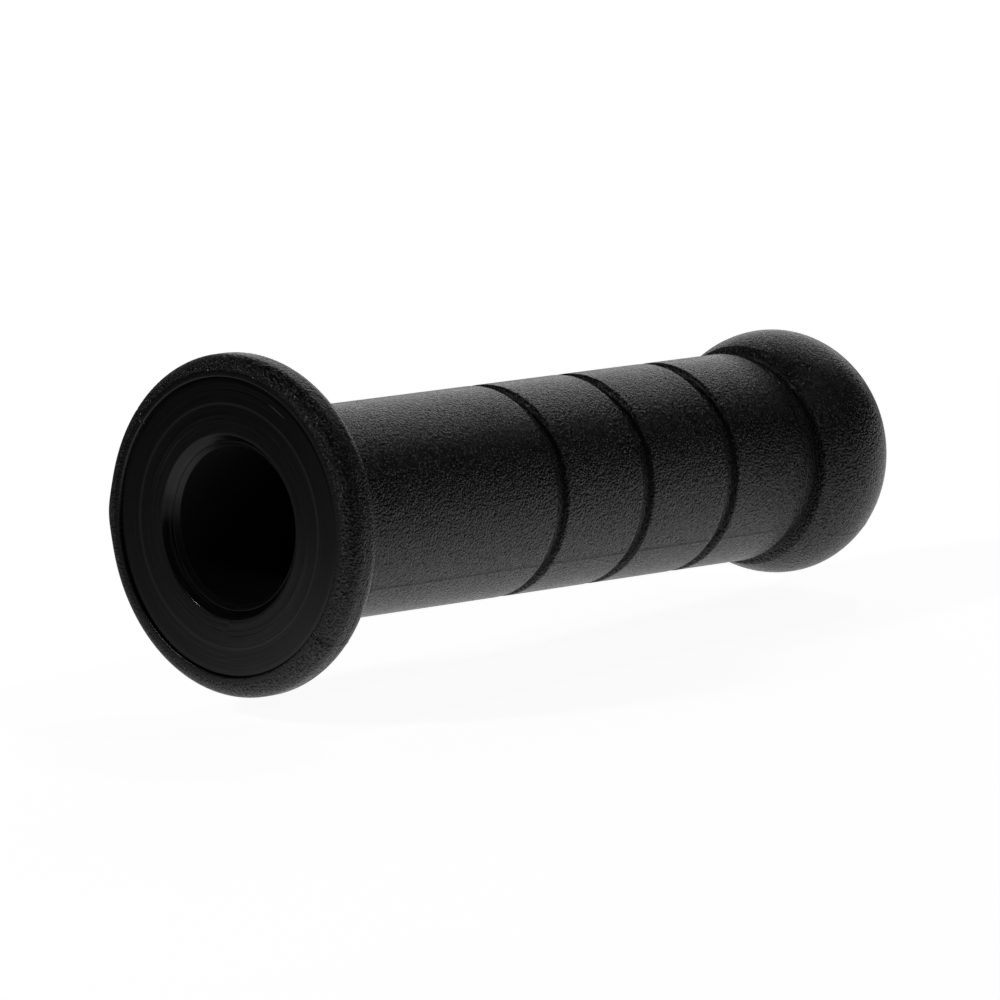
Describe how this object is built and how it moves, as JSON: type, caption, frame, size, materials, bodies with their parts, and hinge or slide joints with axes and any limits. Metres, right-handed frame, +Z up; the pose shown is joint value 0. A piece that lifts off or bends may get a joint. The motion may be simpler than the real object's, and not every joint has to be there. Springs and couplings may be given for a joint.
{
  "type": "throttle grip",
  "caption": "Rubber-covered twist grip for a round handlebar: rounded flange, grooved hand-hold and a closed domed end, turning on a fixed inner sleeve.",
  "frame": {"origin": "centre of the flange's flat face, on the grip's own axis", "axes": "+X along the grip's axis from the flange to the domed end, +Y forwards, +Z up when the handlebar is level"},
  "size_m": [0.1302, 0.0482, 0.0482],
  "materials": {
    "grip_rubber": "fine moulded grain, semi-gloss black",
    "tube_plastic": "smooth satin black with fine turned rings",
    "sleeve_plastic": "smooth low-friction plastic, black",
    "plug_plastic": "moulded, satin dark grey",
    "washer_plastic": "waxy off-white low-friction plastic",
    "seal_rubber": "smooth black rubber, lightly greased",
    "bright_steel": "ground bright steel",
    "spring_steel": "hardened spring steel, slightly blued",
    "black_steel": "black oxide steel",
    "insert_brass": "turned brass"
  },
  "bodies": {
    "bar_side": {"bar_sleeve": "sleeve_plastic", "threaded_insert": "insert_brass", "stop_pin": "bright_steel", "thrust_washers": "washer_plastic", "cup_spring": "spring_steel", "retaining_washer": "bright_steel", "retaining_screw": "black_steel"},
    "twist_grip": {"throttle_tube": "tube_plastic", "mouth_seal": "seal_rubber", "end_plug": "plug_plastic", "grip_cover": "grip_rubber"}
  },
  "joints": [
    {"name": "throttle_twist", "type": "hinge", "parent": "bar_side", "child": "twist_grip", "pos_m": [0, 0, 0], "axis": [1, 0, 0], "range_deg": [0, 80]}
  ]
}
